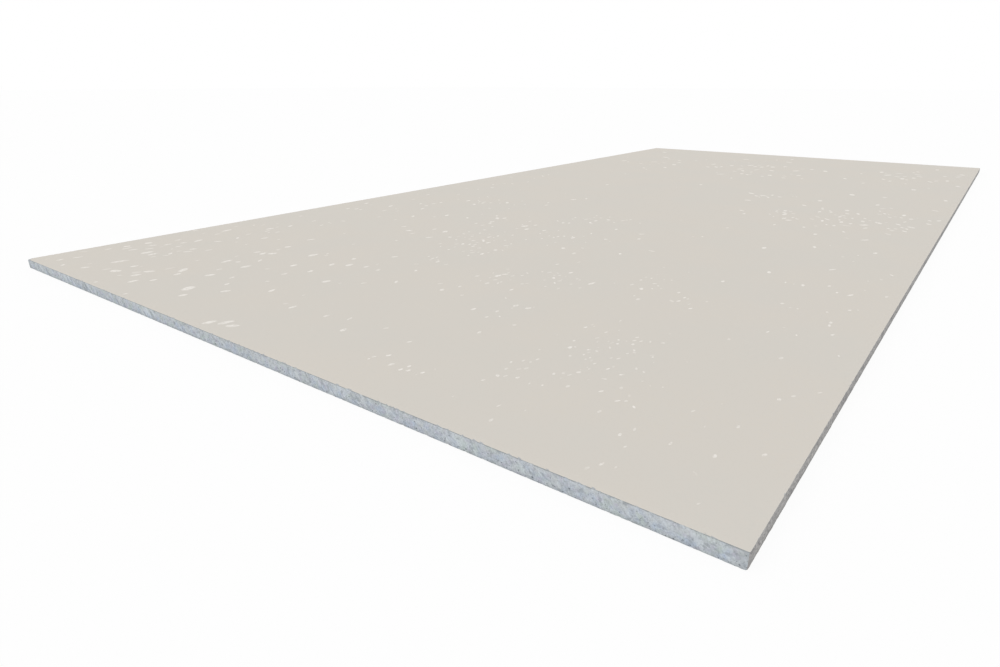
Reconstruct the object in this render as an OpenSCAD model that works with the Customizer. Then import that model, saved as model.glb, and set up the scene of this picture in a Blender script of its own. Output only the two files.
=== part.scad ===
// One rigid mineral sheathing board: a solid flat sheet, square at all four edges.
// X runs along the length, Y across the width and Z up through the thickness.
// The origin is at the middle of the back, which lies on the ground.

/* [Board] */
// Length of the board
board_length = 2400; // [1200:50:3600]
// Width of the board
board_width = 1200; // [300:50:1250]
// Thickness of the board, from its back to its face
board_thickness = 15; // [6:0.5:30]

/* [Edges] */
// Width of the wear on each arris, where a face meets an edge
arris_wear = 0.5; // [0.1:0.1:2]
// Radius of the wear on the four upright corners
corner_radius = 1.5; // [0.5:0.5:10]

/* [Hidden] */
corner_facets = 48;

// The outline seen from above: a rectangle with its corners worn round
module plan_outline() {
    straight_length = board_length - 2 * corner_radius;
    straight_width = board_width - 2 * corner_radius;
    square([straight_length, board_width], center = true);
    square([board_length, straight_width], center = true);
    for (x = [-1, 1], y = [-1, 1])
        translate([x * straight_length / 2, y * straight_width / 2])
            circle(r = corner_radius, $fn = corner_facets);
}

// The section across a span of the board, with its four arrises worn off
module worn_section(span) {
    half = span / 2;
    polygon([
        [-half, arris_wear],
        [-half + arris_wear, 0],
        [half - arris_wear, 0],
        [half, arris_wear],
        [half, board_thickness - arris_wear],
        [half - arris_wear, board_thickness],
        [-half + arris_wear, board_thickness],
        [-half, board_thickness - arris_wear]
    ]);
}

// The whole sheet: what the outline and the sections along both axes have in common
module board() {
    color([0.83, 0.81, 0.78])
        intersection() {
            linear_extrude(board_thickness)
                plan_outline();
            rotate([90, 0, 90])
                linear_extrude(board_length, center = true)
                    worn_section(board_width);
            rotate([90, 0, 0])
                linear_extrude(board_width, center = true)
                    worn_section(board_length);
        }
}

board();
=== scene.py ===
import math
import random

import bmesh
import bpy
from mathutils import Matrix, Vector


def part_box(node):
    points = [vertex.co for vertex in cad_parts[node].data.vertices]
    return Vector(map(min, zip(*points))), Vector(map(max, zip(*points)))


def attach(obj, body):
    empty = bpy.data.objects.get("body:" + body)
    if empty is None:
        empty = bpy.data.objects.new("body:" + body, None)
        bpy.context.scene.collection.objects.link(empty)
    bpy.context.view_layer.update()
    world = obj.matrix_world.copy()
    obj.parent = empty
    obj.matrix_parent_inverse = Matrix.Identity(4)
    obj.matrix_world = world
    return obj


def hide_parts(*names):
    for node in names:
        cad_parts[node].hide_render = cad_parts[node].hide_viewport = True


# One mineral sheathing board, lying flat. X is its length, Y its width and Z its thickness, in metres.
# The sawn end that shows is at -X, and the long edge that shows is at -Y.

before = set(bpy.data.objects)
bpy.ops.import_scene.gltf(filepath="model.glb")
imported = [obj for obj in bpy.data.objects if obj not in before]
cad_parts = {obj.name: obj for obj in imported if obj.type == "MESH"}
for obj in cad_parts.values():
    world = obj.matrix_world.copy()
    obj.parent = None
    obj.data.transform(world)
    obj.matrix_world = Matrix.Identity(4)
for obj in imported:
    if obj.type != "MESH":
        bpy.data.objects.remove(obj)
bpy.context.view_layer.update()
board_low, board_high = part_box("board")

MM = 0.001
LENGTH = board_high.x - board_low.x
WIDTH = board_high.y - board_low.y
THICKNESS = board_high.z - board_low.z

# The body of the board. The flecks stand proud of its face, up to the full thickness.
# The rims of its face and back are cut in steps, and a plain grid fills the middle of each.
CORNER_RADIUS = 1.5 * MM
CORNER_STEPS = 4
ARRIS = 0.3 * MM
BACK_ARRIS = 0.15 * MM
FLECK_PROUD = 0.08 * MM
FACE_Z = THICKNESS - FLECK_PROUD
WALL_LAYERS = 10
RIM_STEPS = (1.2 * MM, 3.0 * MM, 8.0 * MM)
RIM_BAND = 30 * MM
SIDE_CUTS = (19, 39)
INNER_CELLS = 60

# A chipped arris is cut to its full depth where the noise is below the first level, and not at all
# where it is above the second
CHIPPED = (0.26, 0.44)
BROKEN_CORNER = (-LENGTH / 2, WIDTH / 2)
BROKEN_REACH = 12 * MM

# The clearest flecks in the face: along, across and length, in millimetres from the board's middle
CLEAR_FLECKS = (
    (-1169, 51, 24), (-1171, 34, 22), (-1181, 68, 20), (-1125, 225, 28), (-1080, 325, 28),
    (-1010, 320, 28), (-1070, 265, 20), (-1010, 265, 20), (-900, 240, 24), (-880, 540, 28),
    (-960, 500, 24), (-830, 340, 20), (-935, 305, 20), (-905, 140, 18), (-920, 165, 16),
    (-960, 210, 18), (-925, 10, 16), (-985, 95, 18), (-1060, 120, 18), (-1085, 35, 16),
    (-1100, 170, 18), (-1115, 360, 22), (-1155, 325, 20), (-1145, 405, 22), (-1060, 485, 26),
    (-820, 485, 20), (-780, 475, 18), (-890, 325, 16), (-875, 420, 18), (-945, 335, 16),
    (-975, 280, 16), (-875, 165, 14), (-965, 160, 14), (-825, 120, 14), (-805, 40, 14),
    (-865, 30, 14), (-1015, 435, 18), (-1040, 445, 16), (-1010, 515, 18), (-1025, 555, 18),
    (-1065, 525, 18), (-1080, 200, 14), (-1145, 200, 16), (-1115, 410, 16), (-1115, 460, 32),
    (-1145, 545, 18), (-1165, 465, 16), (-1170, 550, 16), (-1190, 365, 10), (-1190, 270, 10),
    (-730, -170, 12), (-770, -165, 12), (-790, -180, 10), (-810, -90, 18), (-830, -100, 10),
    (-760, -225, 20), (-740, -295, 12), (-760, -360, 10), (-780, -385, 10), (-725, -345, 10),
    (-905, -215, 12), (-950, -160, 12), (-1010, -220, 10), (-1070, -60, 12), (-1080, -175, 10),
    (-1100, -85, 13), (-1135, -205, 10), (-1135, -230, 8), (-1120, -185, 8), (-985, -330, 10),
    (-740, -545, 12), (-770, -555, 10), (-330, -430, 22), (-315, -525, 16), (-390, -360, 18),
    (-165, -445, 20), (-165, -370, 16), (-220, -405, 16), (-470, -490, 18), (-450, -570, 14),
    (-585, -475, 14), (-595, -540, 16), (-545, -415, 16), (-635, -375, 12), (-175, -315, 16),
    (-110, -325, 18), (-465, 185, 24), (-365, 335, 22), (-300, 285, 24), (-335, 380, 20),
    (-435, 445, 20), (-415, 420, 20), (-500, 480, 24), (-480, 395, 20), (-505, 295, 20),
    (-495, 90, 22), (-515, 70, 16), (-505, 35, 14), (-420, 45, 16), (-385, 0, 16), (-360, 25, 16),
    (-335, -15, 18), (-325, -45, 16), (-410, -75, 14), (-460, -150, 14), (-420, -135, 14),
    (-530, -210, 16), (-580, -175, 14), (-525, -45, 18), (-525, -25, 14), (-605, -75, 16),
    (-625, -110, 14), (-645, 75, 22), (-630, 185, 22), (-660, 145, 16), (-685, 175, 18),
    (-515, 165, 16), (-500, 240, 14), (-165, 180, 22), (-135, 160, 18), (-240, 205, 16),
    (-270, 190, 18), (1055, -487, 34), (810, -376, 40), (745, -425, 38), (770, -540, 38),
    (805, -22, 38), (795, -195, 40), (765, 172, 36), (780, 30, 34), (870, 405, 40), (665, 280, 34),
    (570, 270, 30), (670, 480, 30), (520, 325, 30), (645, -285, 30), (330, -365, 32),
    (370, -570, 28), (200, -565, 24), (185, -320, 24), (200, -200, 24), (165, -170, 22),
    (205, -445, 24), (95, -515, 24), (55, -430, 26), (20, -570, 20), (-30, -485, 28),
    (-5, -405, 24), (30, -355, 22), (95, -305, 20), (-30, -295, 24), (-65, -420, 24),
    (-30, -455, 22), (105, 235, 20), (265, 20, 20), (-1060, 465, 20), (-1030, 530, 18),
    (-1075, 520, 20), (-1005, 485, 16), (-1000, 445, 16), (-1180, 510, 14), (-1060, 560, 16),
    (-1045, 510, 16), (-985, 505, 16), (-980, 535, 16), (-652, 58, 16), (-645, 285, 16),
    (-665, 250, 16), (-680, 225, 16), (-50, -300, 26), (-95, -312, 26), (-5, -289, 20),
    (-75, -325, 18), (195, -316, 24), (-60, -208, 22), (-95, -225, 16), (690, 135, 32),
    (760, 105, 32), (650, 30, 30), (585, -78, 30), (570, 5, 28), (745, -115, 34), (635, -152, 26),
    (1085, -12, 34), (985, 130, 32), (1045, 490, 34), (955, -565, 30),
)
# Small clear ones close to the near corner, all about as long as each other: along and across
CLEAR_SPECKS = (
    (-1045, -310), (-1043, -318), (-1033, -320), (-1065, -319), (-1072, -308), (-1086, -318),
    (-1090, -311), (-1082, -330), (-1107, -306), (-1056, -302), (-1059, -324), (-1085, -347),
    (-1035, -372), (-1053, -354), (-1046, -361), (-1046, -368), (-1059, -412), (-1041, -424),
    (-1033, -401), (-1051, -438), (-1069, -452), (-1067, -434), (-1095, -431), (-1014, -410),
    (-1010, -392), (-1002, -394), (-983, -381), (-980, -388), (-989, -330), (-980, -334),
    (-985, -354), (-976, -359), (-1002, -368), (-1005, -343), (-965, -323), (-942, -340),
    (-952, -346), (-945, -361), (-959, -366), (-924, -378), (-921, -385), (-935, -382),
    (-913, -376), (-916, -394), (-911, -407), (-992, -415), (-995, -425), (-955, -394),
    (-951, -413), (-875, -334), (-908, -313), (-920, -339), (-920, -311), (-1180, -469),
    (-1044, -498), (-938, -580), (-975, -553), (-960, -562), (-1105, -541), (-1137, -538),
    (-1080, -572), (-1165, -363), (-1140, -352), (-952, -205), (-965, -238), (-1138, -222),
    (-1132, -175), (-1120, -465), (-1105, -471), (-1108, -505), (-1168, -475), (-1048, -540),
)
SPECK_LENGTH = 7.5 * MM
# The smaller ones between them: centre, spread, how many and how long, in millimetres as well
FLECK_PATCHES = (
    (-1000, 270, 110, 190, 46, 14),
    (-1100, 480, 60, 70, 16, 14),
    (-820, 500, 100, 60, 16, 16),
    (-1000, -370, 60, 45, 40, 5),
    (-1134, -216, 8, 22, 6, 6),
    (-924, -186, 20, 28, 8, 9),
    (-1090, -510, 60, 50, 8, 5),
    (-830, -97, 26, 18, 16, 9),
    (-760, -160, 26, 36, 28, 9),
    (-696, 62, 42, 34, 30, 11),
    (-792, 48, 16, 20, 6, 13),
    (-720, -290, 46, 16, 16, 9),
    (-768, -374, 15, 16, 6, 10),
    (-500, 120, 60, 48, 22, 13),
    (-540, -40, 48, 32, 18, 11),
    (-620, -530, 130, 36, 26, 10),
    (-520, 400, 120, 90, 20, 15),
    (-640, 90, 40, 60, 20, 13),
    (-316, 304, 38, 56, 18, 13),
    (-350, -4, 32, 42, 20, 12),
    (-30, -296, 52, 20, 12, 15),
    (-12, -392, 58, 34, 28, 20),
    (-8, -492, 98, 34, 36, 20),
    (180, -184, 54, 30, 14, 22),
    (0, 480, 180, 44, 16, 20),
    (700, 30, 130, 110, 34, 30),
    (830, -460, 150, 64, 30, 30),
    (780, 380, 170, 90, 17, 30),
    (0, 0, 620, 330, 45, 9),
)
# The least, greatest and commonest length of those, as shares of their patch's length
FLECK_LENGTHS = (0.35, 1.5, 0.75)
FLECK_SEED = 31
# How pale they are, from the face's own colour at 0 to the palest at 1
CLEAR_PALENESS = (0.85, 1)
SPECK_PALENESS = (0.3, 1)
USUAL_PALENESS = (0.4, 1)
# The shapes they are copied from: points round, how ragged, how far shrunk into the unit circle,
# and how far in the core begins
FLECK_SHAPES = 8
FLECK_POINTS = 12
FLECK_RAGGED = 0.22
FLECK_SHRUNK = 0.85
FLECK_CORE_INSET = 0.3
# How deep they sit, how far from the edges, and how close together, as a share of their half lengths
FLECK_SUNK = 0.3 * MM
FLECK_MARGIN = 3 * MM
FLECK_SPACING = 0.7
# How wide they are for their length, and how they are turned, at places along the board in metres
FLECK_WIDTHS = ((-1.2, 0.5), (0.2, 0.42))
FLECK_TURNS = ((-1.2, math.radians(-6)), (0.2, math.radians(30)), (0.8, math.radians(8)))
FLECK_TURN_SPREAD = math.radians(22)

# The unwrapped map, as shares of its side: the face on top, the back below it, then the walls in rows
MAP_NAME = "OFBake"
MAP_MARGIN = 0.01
FACE_PLOT = (0.57, 0.99)
BACK_PLOT = (0.38, 0.56)
ROW_LENGTH = WIDTH / 2
WALL_PITCH = 0.031
WALL_HEIGHT = 0.026
FLECK_COLUMNS = 30
SMOOTH_UP_TO = math.radians(40)

# The board's surfaces, each with its own finish
FACE, BACK, SAWN_END, LONG_EDGE = range(4)

# The first row of the map for each wall, by its surface and whether it is the one at +X or +Y
FIRST_ROWS = {(SAWN_END, False): 0, (SAWN_END, True): 2, (LONG_EDGE, False): 4, (LONG_EDGE, True): 8}


def deselect_objects():
    bpy.ops.object.select_all(action="DESELECT")


def pick_edges(piece, test):
    """Selects the edges of the piece, in edit mode, that pass the test"""
    bpy.ops.mesh.select_mode(type="EDGE")
    bpy.ops.mesh.select_all(action="DESELECT")
    mesh = bmesh.from_edit_mesh(piece.data)
    for edge in mesh.edges:
        edge.select_set(test(edge))
    bmesh.update_edit_mesh(piece.data)


def pick_faces(piece, test):
    """Selects the faces of the piece, in edit mode, that pass the test"""
    bpy.ops.mesh.select_mode(type="FACE")
    bpy.ops.mesh.select_all(action="DESELECT")
    mesh = bmesh.from_edit_mesh(piece.data)
    for face in mesh.faces:
        face.select_set(test(face))
    bmesh.update_edit_mesh(piece.data)


def sheet_outline():
    """The board's outline, in fine steps, with its corners worn round"""
    deselect_objects()
    bpy.ops.mesh.primitive_plane_add(size=1, location=(0, 0, 0))
    board = bpy.context.object
    board.name = board.data.name = "sheathing_board"
    board.scale = (LENGTH, WIDTH, 1)
    bpy.ops.object.transform_apply(scale=True)
    bpy.ops.object.mode_set(mode="EDIT")
    bpy.ops.mesh.select_all(action="SELECT")
    bpy.ops.mesh.bevel(offset=CORNER_RADIUS, segments=CORNER_STEPS, affect="VERTICES")
    bpy.ops.mesh.delete(type="ONLY_FACE")
    for cuts in SIDE_CUTS:
        pick_edges(board, lambda edge: edge.calc_length() > 5 * CORNER_RADIUS)
        bpy.ops.mesh.subdivide(number_cuts=cuts)
    bpy.ops.mesh.select_all(action="SELECT")
    bpy.ops.mesh.edge_face_add()
    return board


def draw_in(before, after):
    """Draws the selected outline in, or lets it out, from one inset to another"""
    along = (LENGTH - 2 * after) / (LENGTH - 2 * before)
    across = (WIDTH - 2 * after) / (WIDTH - 2 * before)
    bpy.ops.transform.resize(value=(along, across, 1), center_override=(0, 0, 0))


def raise_through_thickness():
    """Extrudes the outline level by level, from the middle of the back up to the middle of the face"""
    wall = FACE_Z - ARRIS - BACK_ARRIS
    levels = [(0, inset) for inset in reversed(RIM_STEPS)]
    levels += [(0, BACK_ARRIS)]
    levels += [(BACK_ARRIS + wall * step / WALL_LAYERS, 0) for step in range(WALL_LAYERS + 1)]
    levels += [(FACE_Z, ARRIS)]
    levels += [(FACE_Z, inset) for inset in RIM_STEPS]
    bpy.ops.mesh.select_all(action="SELECT")
    draw_in(0, levels[0][1])
    for (low, inset_low), (high, inset_high) in zip(levels, levels[1:]):
        bpy.ops.mesh.extrude_region_move(TRANSFORM_OT_translate={"value": (0, 0, high - low)})
        draw_in(inset_low, inset_high)


def fill_middle(board, height):
    """Swaps the one large face at this height for a plain grid, and fills the band round it"""
    pick_faces(board, lambda face: len(face.verts) > 100 and abs(face.verts[0].co.z - height) < ARRIS)
    bpy.ops.mesh.delete(type="ONLY_FACE")
    bpy.ops.mesh.primitive_grid_add(
        x_subdivisions=INNER_CELLS, y_subdivisions=INNER_CELLS, size=1, location=(0, 0, height)
    )
    inner = (LENGTH - 2 * RIM_BAND, WIDTH - 2 * RIM_BAND, 1)
    bpy.ops.transform.resize(value=inner, center_override=(0, 0, height))
    pick_edges(board, lambda edge: edge.is_boundary)
    bpy.ops.mesh.fill(use_beauty=True)


def from_end(place):
    return LENGTH / 2 - abs(place.x)


def from_side(place):
    return WIDTH / 2 - abs(place.y)


def from_flat(place):
    return min(place.z, FACE_Z - place.z)


def from_broken_corner(place):
    """Distance in plan from the corner whose skin is broken, for places at the edge of the face"""
    if place.z < FACE_Z - 2 * ARRIS:
        return LENGTH
    return math.hypot(place.x - BROKEN_CORNER[0], place.y - BROKEN_CORNER[1])


def fade(distance, reach):
    """1 at no distance, falling to 0 at this reach"""
    return max(0.0, 1 - distance / reach)


def sort_surfaces(board):
    """Tells the face, the back, the sawn ends and the long edges apart, while they are still flat.

    The skin runs down over the arrises of the long edges, but the saw has cut through it at the ends.
    """
    for face in board.data.polygons:
        at = face.center
        wall = SAWN_END if from_end(at) < from_side(at) else LONG_EDGE
        level_enough = 0.9 if wall == SAWN_END else 0.6
        if abs(face.normal.z) > level_enough:
            face.material_index = FACE if at.z > THICKNESS / 2 else BACK
        else:
            face.material_index = wall


def lay_out_map(board):
    """Unwraps the board: its face and back as plans, and its narrow walls in rows"""
    spots = board.data.uv_layers.new(name=MAP_NAME).data
    usable = 1 - 2 * MAP_MARGIN
    for face in board.data.polygons:
        places = [board.data.vertices[index].co for index in face.vertices]
        corners = list(zip(face.loop_indices, places))
        if face.material_index in (FACE, BACK):
            low, high = FACE_PLOT if face.material_index == FACE else BACK_PLOT
            for loop, at in corners:
                across = low + (high - low) * (at.y / WIDTH + 0.5)
                spots[loop].uv = (MAP_MARGIN + usable * (at.x / LENGTH + 0.5), across)
            continue
        on_end = face.material_index == SAWN_END
        along, half = (1, WIDTH / 2) if on_end else (0, LENGTH / 2)
        first = FIRST_ROWS[face.material_index, face.center[0 if on_end else 1] > 0]
        row = int((face.center[along] + half) / ROW_LENGTH)
        for loop, at in corners:
            share = (at[along] + half) / ROW_LENGTH - row
            up = MAP_MARGIN / 2 + WALL_PITCH * (first + row) + WALL_HEIGHT * at.z / THICKNESS
            spots[loop].uv = (MAP_MARGIN + usable * share, up)


def weigh(board, name, weight_of):
    """Makes a vertex group with each point's weight worked out from its place"""
    group = board.vertex_groups.new(name=name)
    for vertex in board.data.vertices:
        weight = weight_of(vertex.co)
        if weight > 0:
            group.add([vertex.index], weight, "REPLACE")


def cut_back(board, name, kind, grain, depth, group, ramp=(0.0, 1.0), noise_depth=2):
    """Cuts the surface back along its normals by a noise of this grain, never outwards"""
    texture = bpy.data.textures.new(name, kind)
    texture.noise_scale = grain
    if kind == "CLOUDS":
        texture.noise_depth = noise_depth
    texture.use_color_ramp = True
    for stop, position, shade in zip(texture.color_ramp.elements, ramp, (0, 1)):
        stop.position = position
        stop.color = (shade, shade, shade, 1)
    cut = board.modifiers.new(name, "DISPLACE")
    cut.texture = texture
    cut.texture_coords = "LOCAL"
    cut.strength = depth
    cut.mid_level = 1.0
    cut.vertex_group = group
    bpy.ops.object.modifier_apply(modifier=name)


def rough_cut_edges(board):
    """Roughens the sawn ends and long edges, chips the arrises and breaks the skin at one corner"""
    weigh(board, "sawn_ends", lambda at: fade(from_end(at), 2 * MM))
    weigh(board, "long_edges", lambda at: fade(from_side(at), 2 * MM))
    weigh(board, "end_arrises", lambda at: fade(from_end(at), 3 * MM) * fade(FACE_Z - at.z, 2.5 * MM))
    weigh(board, "end_backs", lambda at: fade(from_end(at), 3 * MM) * fade(at.z, 2.5 * MM))
    weigh(board, "side_arrises", lambda at: fade(from_side(at), 3 * MM) * fade(from_flat(at), 2 * MM))
    weigh(board, "worn_backs", lambda at: fade(from_side(at), 3 * MM) * fade(at.z, 3 * MM))
    weigh(board, "broken_corner", lambda at: fade(from_broken_corner(at), BROKEN_REACH))
    cut_back(board, "saw_wander", "CLOUDS", 40 * MM, 0.12 * MM, "sawn_ends", noise_depth=1)
    cut_back(board, "torn_lumps", "CLOUDS", 6 * MM, 0.16 * MM, "sawn_ends")
    cut_back(board, "sawn_grains", "VORONOI", 3.2 * MM, 0.16 * MM, "sawn_ends")
    cut_back(board, "end_chips", "CLOUDS", 4 * MM, 0.8 * MM, "end_arrises", CHIPPED)
    cut_back(board, "end_back_chips", "CLOUDS", 5 * MM, 0.5 * MM, "end_backs", CHIPPED)
    cut_back(board, "edge_grains", "CLOUDS", 4 * MM, 0.24 * MM, "long_edges")
    cut_back(board, "back_wear", "CLOUDS", 25 * MM, 0.67 * MM, "worn_backs")
    cut_back(board, "side_chips", "CLOUDS", 5 * MM, 0.4 * MM, "side_arrises", CHIPPED)
    cut_back(board, "broken_skin", "CLOUDS", 5 * MM, 1.2 * MM, "broken_corner")


def hold_within_box(board):
    """Brings back any point that the cuts, along their slanting normals, have pushed out of the box"""
    for vertex in board.data.vertices:
        for axis in range(3):
            vertex.co[axis] = min(max(vertex.co[axis], board_low[axis]), board_high[axis])


def make_board():
    board = sheet_outline()
    raise_through_thickness()
    fill_middle(board, FACE_Z)
    fill_middle(board, 0)
    bpy.ops.mesh.select_all(action="SELECT")
    bpy.ops.mesh.normals_make_consistent(inside=False)
    bpy.ops.object.mode_set(mode="OBJECT")
    sort_surfaces(board)
    lay_out_map(board)
    rough_cut_edges(board)
    hold_within_box(board)
    bpy.ops.object.shade_smooth_by_angle(angle=SMOOTH_UP_TO)
    return board


def fleck_shape(seed):
    """One flake of unit size, with a ragged outline and a smaller pale core on top"""
    deselect_objects()
    bpy.ops.mesh.primitive_circle_add(vertices=FLECK_POINTS, fill_type="NGON", location=(0, 0, 0))
    shape = bpy.context.object
    bpy.ops.object.mode_set(mode="EDIT")
    bpy.ops.mesh.select_all(action="SELECT")
    bpy.ops.transform.vertex_random(offset=FLECK_RAGGED, seed=seed)
    bpy.ops.transform.resize(value=(FLECK_SHRUNK, FLECK_SHRUNK, 0), center_override=(0, 0, 0))
    bpy.ops.mesh.extrude_region_move(TRANSFORM_OT_translate={"value": (0, 0, 1)})
    bpy.ops.mesh.select_all(action="SELECT")
    bpy.ops.mesh.normals_make_consistent(inside=False)
    pick_faces(shape, lambda face: face.normal.z > 0.5)
    bpy.ops.mesh.inset(thickness=FLECK_CORE_INSET)
    bpy.ops.object.mode_set(mode="OBJECT")
    core = shape.data.attributes.new("fleck_core", "FLOAT", "POINT")
    for face in shape.data.polygons:
        if face.normal.z > 0.5 and len(face.vertices) == FLECK_POINTS:
            for index in face.vertices:
                core.data[index].value = 1.0
    lay_out_fleck_map(shape)
    return shape


def lay_out_fleck_map(shape):
    """Unwraps the flake over one cell: its top inside its sides, and its underside in a corner"""
    spots = shape.data.uv_layers.new(name=MAP_NAME).data
    reach = max(vertex.co.xy.length for vertex in shape.data.vertices)
    for face in shape.data.polygons:
        for loop in face.loop_indices:
            at = shape.data.vertices[shape.data.loops[loop].vertex_index].co
            middle, spread = 0.5, 0.46 if at.z < 0.5 else 0.36
            if face.normal.z < -0.5:
                middle, spread = 0.08, 0.06
            spots[loop].uv = (middle + spread * at.x / reach, middle + spread * at.y / reach)


def lay_fleck(shape, cell, place, size, turn, paleness):
    """A copy of the shape, with its own mesh and cell of the map, pressed into the face at this place"""
    fleck = shape.copy()
    fleck.data = shape.data.copy()
    row, column = divmod(cell, FLECK_COLUMNS)
    for spot in fleck.data.uv_layers[MAP_NAME].data:
        spot.uv = ((column + spot.uv.x) / FLECK_COLUMNS, (row + spot.uv.y) / FLECK_COLUMNS)
    spot_in_face = Matrix.Translation((*place, FACE_Z - FLECK_SUNK)) @ Matrix.Rotation(turn, 4, "Z")
    fleck.data.transform(spot_in_face @ Matrix.Diagonal((*size, 1)))
    tone = fleck.data.attributes.new("fleck_paleness", "FLOAT", "POINT")
    tone.data.foreach_set("value", [paleness] * len(fleck.data.vertices))
    bpy.context.scene.collection.objects.link(fleck)
    return fleck


def plan_flecks(dice):
    """The place, half length and paleness of each fleck: the clear ones, then the scattered ones"""
    wanted = []
    for x, y, length in CLEAR_FLECKS:
        wanted.append((x * MM, y * MM, length * MM / 2, dice.uniform(*CLEAR_PALENESS)))
    for x, y in CLEAR_SPECKS:
        wanted.append((x * MM, y * MM, SPECK_LENGTH / 2, dice.uniform(*SPECK_PALENESS)))
    for mid_x, mid_y, spread_x, spread_y, count, usual_length in FLECK_PATCHES:
        for _ in range(count):
            x = dice.gauss(mid_x, spread_x) * MM
            y = dice.gauss(mid_y, spread_y) * MM
            half_length = usual_length * MM / 2 * dice.triangular(*FLECK_LENGTHS)
            wanted.append((x, y, half_length, dice.uniform(*USUAL_PALENESS)))
    laid = []
    for x, y, half_length, paleness in wanted:
        inside_x = abs(x) < LENGTH / 2 - FLECK_MARGIN - half_length
        inside_y = abs(y) < WIDTH / 2 - FLECK_MARGIN - half_length
        gaps = (math.hypot(x - other[0], y - other[1]) / (half_length + other[2]) for other in laid)
        if inside_x and inside_y and all(gap > FLECK_SPACING for gap in gaps):
            laid.append((x, y, half_length, paleness))
    return laid


def value_at(x, steps):
    """The value at this place along the board, straight between the steps on either side of it"""
    for (low, first), (high, second) in zip(steps, steps[1:]):
        if x <= high:
            return first + (second - first) * (x - low) / (high - low)
    return steps[-1][1]


def make_flecks():
    """All the flecks, each at its own height, joined as one mesh"""
    dice = random.Random(FLECK_SEED)
    shapes = [fleck_shape(seed + 1) for seed in range(FLECK_SHAPES)]
    flecks = []
    for cell, (x, y, half_length, paleness) in enumerate(plan_flecks(dice)):
        half_width = half_length * value_at(x, FLECK_WIDTHS) * dice.uniform(0.7, 1.3)
        height = FLECK_SUNK + FLECK_PROUD * dice.uniform(0.4, 1)
        turn = dice.gauss(value_at(x, FLECK_TURNS), FLECK_TURN_SPREAD)
        size = (half_length, half_width, height)
        flecks.append(lay_fleck(dice.choice(shapes), cell, (x, y), size, turn, paleness))
    for shape in shapes:
        bpy.data.objects.remove(shape)
    deselect_objects()
    for fleck in flecks:
        fleck.select_set(True)
    bpy.context.view_layer.objects.active = flecks[0]
    bpy.ops.object.join()
    joined = bpy.context.object
    joined.name = joined.data.name = "face_flecks"
    return joined


# The finishes. Each colour is written as it shows, in 8-bit steps of red, green and blue.

FACE_BEIGE = (212, 207, 199)
FACE_WARM = (214, 207, 197)
FACE_COOL = (209, 206, 199)
FLECK_PALE = (238, 234, 228)
BACK_BEIGE = (200, 197, 190)
SAWN_BODY = (192, 197, 200)
SAWN_BLUE = (179, 190, 206)
SAWN_VIOLET = (183, 183, 197)
SAWN_GREEN = (184, 194, 192)
SAWN_PALE = (210, 217, 222)
SAWN_UPPER = (206, 206, 202)
SAWN_SHADE = (150, 156, 161)
SAWN_PIT_SHADE = (112, 118, 126)
SAWN_RIM_AND_SHADE = (150, 154, 155)
EDGE_BODY = (167, 166, 164)
EDGE_PALE = (190, 188, 186)
EDGE_DARK = (129, 128, 130)
BROKEN_SKIN = (178, 181, 184)
MATTE_GLOSS = 0.12

# Heights on the walls, in millimetres, between which the sawn end turns paler, its top rim darkens,
# painted shade darkens the foot of both walls towards the floor, and its painted pit shade grows more
# common
UPPER_BAND = (7, 12)
TOP_RIM = (13.6, 14.5)
LOW_PAINTED_SHADE = (4, 0)
PITTED_BAND = (11, 2)

# Sums of x and y, in millimetres, between which the walls darken towards the upright corners,
# and by how much
CORNER_WEAR = ((LENGTH + WIDTH) / 2 / MM - 14, (LENGTH + WIDTH) / 2 / MM - 2)
CORNER_SHADE = 0.3

# Heights near the face, in millimetres, between which the skin gives way to the core
SKIN_ENDS = ((FACE_Z / MM - 0.22), (FACE_Z / MM - 0.36))

# Places across the board, in millimetres, between which the broad strokes on the sawn ends come to
# stand out, and those between which the fine ones do
ROUGHER_LEFT = (-1500, 500)
FINER_RIGHT = (1400, -200)

# The saw blade whose teeth drew the strokes on the sawn ends, in millimetres
BLADE_RADIUS = 230
BLADE_CENTRE_UP = -140


def paint(shown):
    """The linear colour, with alpha, of one written in 8-bit steps"""
    linear = []
    for step in shown:
        value = step / 255
        linear.append(value / 12.92 if value <= 0.04045 else ((value + 0.055) / 1.055) ** 2.4)
    return (*linear, 1.0)


def add_node(tree, kind, inputs=None, **settings):
    """Adds a shader node, and sets each input to a value or links it to a socket"""
    made = tree.nodes.new("ShaderNode" + kind)
    for name, value in settings.items():
        setattr(made, name, value)
    for name, value in (inputs or {}).items():
        if isinstance(value, bpy.types.NodeSocket):
            tree.links.new(value, made.inputs[name])
        else:
            made.inputs[name].default_value = value
    return made


def in_millimetres(tree, stretch=(1, 1, 1), turn=(0, 0, 0)):
    """The place on the piece, in millimetres, turned and then shrunk along each axis by the stretch"""
    place = add_node(tree, "TexCoord").outputs["Object"]
    turned = add_node(tree, "Mapping", {"Vector": place, "Rotation": turn}).outputs["Vector"]
    scale = tuple(1 / (MM * s) for s in stretch)
    return add_node(tree, "Mapping", {"Vector": turned, "Scale": scale}).outputs["Vector"]


def noise(tree, place, size, detail=2.0, roughness=0.5):
    """Soft noise with lumps of about this size in millimetres"""
    inputs = {"Vector": place, "Scale": 1 / size, "Detail": detail, "Roughness": roughness}
    return add_node(tree, "TexNoise", inputs).outputs["Fac"]


def between(tree, value, low, high):
    """0 below the low value, 1 above the high one"""
    inputs = {"Value": value, "From Min": low, "From Max": high}
    return add_node(tree, "MapRange", inputs).outputs["Result"]


def blend(tree, amount, first, second):
    """Mixes two colours, each a socket or a written colour"""
    mixed = tree.nodes.new("ShaderNodeMix")
    mixed.data_type = "RGBA"
    factor, a, b = mixed.inputs[0], mixed.inputs[6], mixed.inputs[7]
    for socket, value in ((factor, amount), (a, first), (b, second)):
        if isinstance(value, bpy.types.NodeSocket):
            tree.links.new(value, socket)
        else:
            socket.default_value = value
    return mixed.outputs[2]


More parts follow.
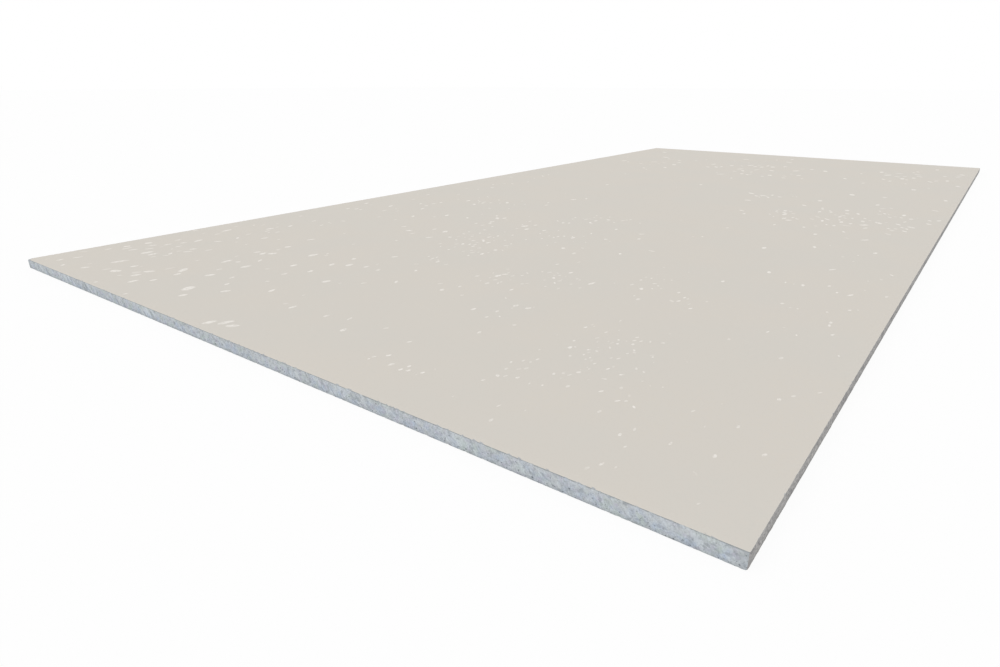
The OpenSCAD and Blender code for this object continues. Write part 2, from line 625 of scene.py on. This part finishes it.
def maths(tree, operation, first, second=0.0):
    made = tree.nodes.new("ShaderNodeMath")
    made.operation = operation
    for socket, value in zip(made.inputs, (first, second)):
        if isinstance(value, bpy.types.NodeSocket):
            tree.links.new(value, socket)
        else:
            socket.default_value = value
    return made.outputs[0]


def tint(tree, colour, amount, shown, share=None):
    """The colour with another one laid over it, as much as the amount says, or a share of that"""
    if share is not None:
        amount = maths(tree, "MULTIPLY", amount, share)
    return blend(tree, amount, colour, paint(shown))


def new_finish(name):
    """An empty material and its node tree"""
    material = bpy.data.materials.new(name)
    material.use_nodes = True
    material.node_tree.nodes.clear()
    return material, material.node_tree


def dress(tree, colour, roughness, height, bump):
    """The matte surface: its colour, and bumps of this depth in millimetres from a height"""
    bumps = add_node(tree, "Bump", {"Height": height, "Distance": bump * MM, "Strength": 1.0})
    inputs = {
        "Base Color": colour,
        "Roughness": roughness,
        "Normal": bumps.outputs["Normal"],
        "Specular IOR Level": MATTE_GLOSS,
    }
    shader = add_node(tree, "BsdfPrincipled", inputs)
    add_node(tree, "OutputMaterial", {"Surface": shader.outputs["BSDF"]})


def beige_colour(tree, place):
    """The face's own colour: broad, faint changes of warmth with a fine mottle"""
    cloud = between(tree, noise(tree, place, 160, 3), 0.4, 0.6)
    mottle = between(tree, noise(tree, place, 7, 4, 0.65), 0.35, 0.65)
    clouded = tint(tree, paint(FACE_WARM), cloud, FACE_COOL)
    return tint(tree, tint(tree, clouded, 0.6, FACE_BEIGE), mottle, FACE_BEIGE)


def face_finish():
    """The smooth face: beige, and grey where its skin is broken at an arris"""
    material, tree = new_finish("beige_face")
    place = in_millimetres(tree)
    grit = noise(tree, place, 1.1, 4, 0.7)
    broken = between(tree, height_up(tree), *SKIN_ENDS)
    colour = tint(tree, beige_colour(tree, place), broken, BROKEN_SKIN)
    dress(tree, colour, 0.85, grit, 0.05)
    return material


def fleck_finish():
    """Pale at the core of a fleck, and nearer to the face's colour at its rim"""
    material, tree = new_finish("pale_fleck")
    place = in_millimetres(tree)
    core = add_node(tree, "Attribute", attribute_name="fleck_core").outputs["Fac"]
    paleness = add_node(tree, "Attribute", attribute_name="fleck_paleness").outputs["Fac"]
    patchy = between(tree, noise(tree, place, 4, 3, 0.65), 0.28, 0.54)
    cover = maths(tree, "MULTIPLY", between(tree, core, -0.4, 0.8), paleness)
    colour = tint(tree, beige_colour(tree, place), cover, FLECK_PALE, patchy)
    dress(tree, colour, 0.8, noise(tree, place, 0.8, 3), 0.05)
    return material


def back_finish():
    material, tree = new_finish("plain_back")
    place = in_millimetres(tree)
    mottle = between(tree, noise(tree, place, 12, 4, 0.65), 0.35, 0.65)
    colour = tint(tree, paint(BACK_BEIGE), mottle, FACE_COOL)
    dress(tree, colour, 0.9, noise(tree, place, 1.6, 4, 0.7), 0.12)
    return material


def height_up(tree):
    """Height above the back, in millimetres"""
    place = add_node(tree, "TexCoord").outputs["Object"]
    return maths(tree, "MULTIPLY", add_node(tree, "SeparateXYZ", {"Vector": place}).outputs["Z"], 1 / MM)


def handled_corners(tree):
    """1 at the upright corners, fading out along both walls"""
    parts = add_node(tree, "SeparateXYZ", {"Vector": in_millimetres(tree)}).outputs
    reach = maths(tree, "ADD", maths(tree, "ABSOLUTE", parts["X"]), maths(tree, "ABSOLUTE", parts["Y"]))
    return between(tree, reach, *CORNER_WEAR)


def along_saw_strokes(tree):
    """A place, in millimetres, that changes quickly across the blade's strokes and slowly along them"""
    parts = add_node(tree, "SeparateXYZ", {"Vector": in_millimetres(tree)}).outputs
    above = maths(tree, "SUBTRACT", parts["Z"], BLADE_CENTRE_UP)
    drop = maths(tree, "SUBTRACT", BLADE_RADIUS ** 2, maths(tree, "MULTIPLY", above, above))
    across = maths(tree, "ADD", parts["Y"], maths(tree, "SQRT", drop))
    along = maths(tree, "MULTIPLY", parts["Z"], 0.4)
    return add_node(tree, "CombineXYZ", {"Y": across, "Z": along}).outputs["Vector"]


def sawn_finish():
    """The sawn end: blue-grey core with grains, pits painted as shade, the saw's slanting strokes
    painted as light and shade, a dark top rim and painted shade at its foot
    """
    material, tree = new_finish("sawn_core")
    place = in_millimetres(tree)
    shifted = in_millimetres(tree, (1, 1.4, 1))
    up = height_up(tree)
    across = add_node(tree, "SeparateXYZ", {"Vector": place}).outputs["Y"]
    # The greys of the core in soft patches, paler towards the face
    colour = tint(tree, paint(SAWN_BODY), between(tree, noise(tree, place, 12, 2), 0.4, 0.66), SAWN_BLUE)
    colour = tint(tree, colour, between(tree, noise(tree, shifted, 6, 2), 0.52, 0.68), SAWN_VIOLET)
    colour = tint(tree, colour, between(tree, noise(tree, shifted, 9, 2), 0.54, 0.68), SAWN_GREEN)
    colour = tint(tree, colour, between(tree, up, *UPPER_BAND), SAWN_UPPER, 0.28)
    # The broad strokes of the saw, in patches: their pale and dark bands are painted light and shade,
    # for ridges and grooves the relief does not have
    strokes = along_saw_strokes(tree)
    broad = noise(tree, strokes, 9, 2, 0.6)
    patches = between(tree, noise(tree, shifted, 40, 2), 0.38, 0.58)
    broad_stroke_light_and_shade = maths(tree, "MULTIPLY", between(tree, across, *ROUGHER_LEFT), patches)
    colour = tint(tree, colour, between(tree, broad, 0.5, 0.68), SAWN_PALE, broad_stroke_light_and_shade)
    colour = tint(tree, colour, between(tree, broad, 0.5, 0.32), SAWN_SHADE, broad_stroke_light_and_shade)
    # The fine strokes, in smaller patches: real bump, with their pale and dark bands painted as light
    # and shade over it
    fine = noise(tree, strokes, 2.8, 3, 0.62)
    patches = between(tree, noise(tree, place, 25, 1), 0.36, 0.58)
    fine_stroke_light_and_shade = maths(tree, "MULTIPLY", between(tree, across, *FINER_RIGHT), patches)
    colour = tint(tree, colour, between(tree, fine, 0.52, 0.76), SAWN_PALE, fine_stroke_light_and_shade)
    colour = tint(tree, colour, between(tree, fine, 0.48, 0.24), SAWN_SHADE, fine_stroke_light_and_shade)
    # Grains and lumps, both pale and dark
    grain = noise(tree, place, 1.5, 3, 0.65)
    colour = tint(tree, colour, between(tree, grain, 0.54, 0.72), SAWN_PALE)
    colour = tint(tree, colour, between(tree, grain, 0.45, 0.26), SAWN_SHADE)
    lump = noise(tree, shifted, 3.6, 2)
    colour = tint(tree, colour, between(tree, lump, 0.47, 0.3), SAWN_SHADE, 0.6)
    colour = tint(tree, colour, between(tree, lump, 0.56, 0.72), SAWN_PALE, 0.25)
    # Pits, more of them near the back: dark spots of painted shade, as the relief has no pits
    more = maths(tree, "MULTIPLY", between(tree, up, *PITTED_BAND), 0.07)
    pits = maths(tree, "ADD", noise(tree, shifted, 2, 1), more)
    colour = tint(tree, colour, between(tree, pits, 0.7, 0.78), SAWN_PIT_SHADE)
    # The dark rims, broken here and there: a dark line under the face, and painted shade at the foot of
    # the wall; and the handled corners
    low_painted_shade = maths(tree, "MULTIPLY", between(tree, up, *LOW_PAINTED_SHADE), 0.5)
    rim = maths(tree, "MAXIMUM", between(tree, up, *TOP_RIM), low_painted_shade)
    colour = tint(tree, colour, rim, SAWN_RIM_AND_SHADE, between(tree, noise(tree, place, 4, 2), 0.25, 0.5))
    colour = tint(tree, colour, handled_corners(tree), SAWN_SHADE, CORNER_SHADE)
    relief = maths(tree, "ADD", grain, maths(tree, "ADD", lump, maths(tree, "MULTIPLY", fine, 0.5)))
    dress(tree, colour, 0.95, relief, 0.4)
    return material


def long_edge_finish():
    """The trimmed long edge: plain grey, mottled, and darkened towards the back by painted shade"""
    material, tree = new_finish("grey_long_edge")
    place = in_millimetres(tree)
    drawn_out = in_millimetres(tree, (3, 1, 1), (0, math.radians(-30), 0))
    pale = between(tree, noise(tree, drawn_out, 3, 3), 0.42, 0.66)
    colour = tint(tree, paint(EDGE_BODY), pale, EDGE_PALE)
    colour = tint(tree, colour, between(tree, noise(tree, place, 2.2, 3), 0.52, 0.7), EDGE_DARK)
    colour = tint(tree, colour, between(tree, noise(tree, drawn_out, 9, 2), 0.5, 0.7), EDGE_DARK, 0.6)
    # Painted shade, darkening the foot of the wall towards the floor
    colour = tint(tree, colour, between(tree, height_up(tree), *LOW_PAINTED_SHADE), EDGE_DARK, 0.6)
    colour = tint(tree, colour, handled_corners(tree), EDGE_DARK, CORNER_SHADE)
    dress(tree, colour, 0.92, noise(tree, place, 1.2, 3), 0.2)
    return material


def dress_board(board):
    """Gives the face, back, sawn ends and long edges their own finishes, in that order"""
    for finish in (face_finish(), back_finish(), sawn_finish(), long_edge_finish()):
        board.data.materials.append(finish)


board = make_board()
dress_board(board)
flecks = make_flecks()
flecks.data.materials.append(fleck_finish())
for piece in (board, flecks):
    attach(piece, "root")
    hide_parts("board")


# The camera, at the photograph's viewing angle

EYE = (-1.5472, -0.6772, 0.2896)
HEADING = math.radians(36.652)
LOOK_DOWN = math.radians(21.396)
FOCAL_PX = 642.6
FRAME_WIDTH_PX = 1000
CENTRE_SHIFT_PX = 18.4
SENSOR = 36.0


def add_camera():
    deselect_objects()
    bpy.ops.object.camera_add(location=EYE)
    camera = bpy.context.object
    camera.rotation_euler = (math.pi / 2 - LOOK_DOWN, 0, HEADING - math.pi / 2)
    camera.data.sensor_fit = "HORIZONTAL"
    camera.data.sensor_width = SENSOR
    camera.data.lens = FOCAL_PX * SENSOR / FRAME_WIDTH_PX
    camera.data.shift_x = -CENTRE_SHIFT_PX / FRAME_WIDTH_PX
    camera.data.clip_start = 0.01
    bpy.context.scene.camera = camera


# The floor and the light

FLOOR_SIZE = 60
FLOOR_GAP = 0.1 * MM
FLOOR_WHITE = 0.8
SEEN_WHITE = 0.882
SHADOW_SHARE = 0.11
SKY_STRENGTH = 0.69
SUN_STRENGTH = 1.2
SUN_SOFTNESS = math.radians(35)
SUN_TILT = (0, math.radians(-38), math.radians(25))


def seen_directly(tree):
    """1 for rays from the camera, and for mirrored and transmitted ones"""
    path = add_node(tree, "LightPath").outputs
    seen = maths(tree, "MAXIMUM", path["Is Camera Ray"], path["Is Glossy Ray"])
    return maths(tree, "MAXIMUM", seen, path["Is Transmission Ray"])


def add_floor():
    """A pale floor that looks white, with a faint share of the shadow on it"""
    deselect_objects()
    bpy.ops.mesh.primitive_plane_add(size=FLOOR_SIZE, location=(0, 0, -FLOOR_GAP))
    floor = bpy.context.object
    floor.name = "floor"
    bpy.ops.object.transform_apply(location=True)
    material, tree = new_finish("pale_floor")
    pale = add_node(tree, "BsdfDiffuse", {"Color": (FLOOR_WHITE,) * 3 + (1,)})
    faint = add_node(tree, "BsdfDiffuse", {"Color": (SHADOW_SHARE,) * 3 + (1,)})
    glow = add_node(tree, "Emission", {"Color": (1, 1, 1, 1), "Strength": SEEN_WHITE})
    seen = add_node(tree, "AddShader")
    tree.links.new(faint.outputs[0], seen.inputs[0])
    tree.links.new(glow.outputs[0], seen.inputs[1])
    surface = add_node(tree, "MixShader", {"Fac": seen_directly(tree)})
    tree.links.new(pale.outputs[0], surface.inputs[1])
    tree.links.new(seen.outputs[0], surface.inputs[2])
    add_node(tree, "OutputMaterial", {"Surface": surface.outputs[0]})
    floor.data.materials.append(material)


def add_sky():
    """Even white light all round, and a white background"""
    sky = bpy.data.worlds.new("sky")
    bpy.context.scene.world = sky
    sky.use_nodes = True
    tree = sky.node_tree
    tree.nodes.clear()
    light = add_node(tree, "Background", {"Color": (1, 1, 1, 1), "Strength": SKY_STRENGTH})
    white = add_node(tree, "Background", {"Color": (1, 1, 1, 1), "Strength": 1.0})
    mixed = add_node(tree, "MixShader", {"Fac": seen_directly(tree)})
    tree.links.new(light.outputs[0], mixed.inputs[1])
    tree.links.new(white.outputs[0], mixed.inputs[2])
    add_node(tree, "OutputWorld", {"Surface": mixed.outputs[0]})


def add_sun():
    """Soft light from high up beyond the sawn end"""
    deselect_objects()
    bpy.ops.object.light_add(type="SUN", location=(-2, 0, 3))
    sun = bpy.context.object
    sun.data.energy = SUN_STRENGTH
    sun.data.angle = SUN_SOFTNESS
    sun.rotation_euler = SUN_TILT


add_camera()
add_floor()
add_sky()
add_sun()
bpy.context.scene.view_settings.view_transform = "Standard"
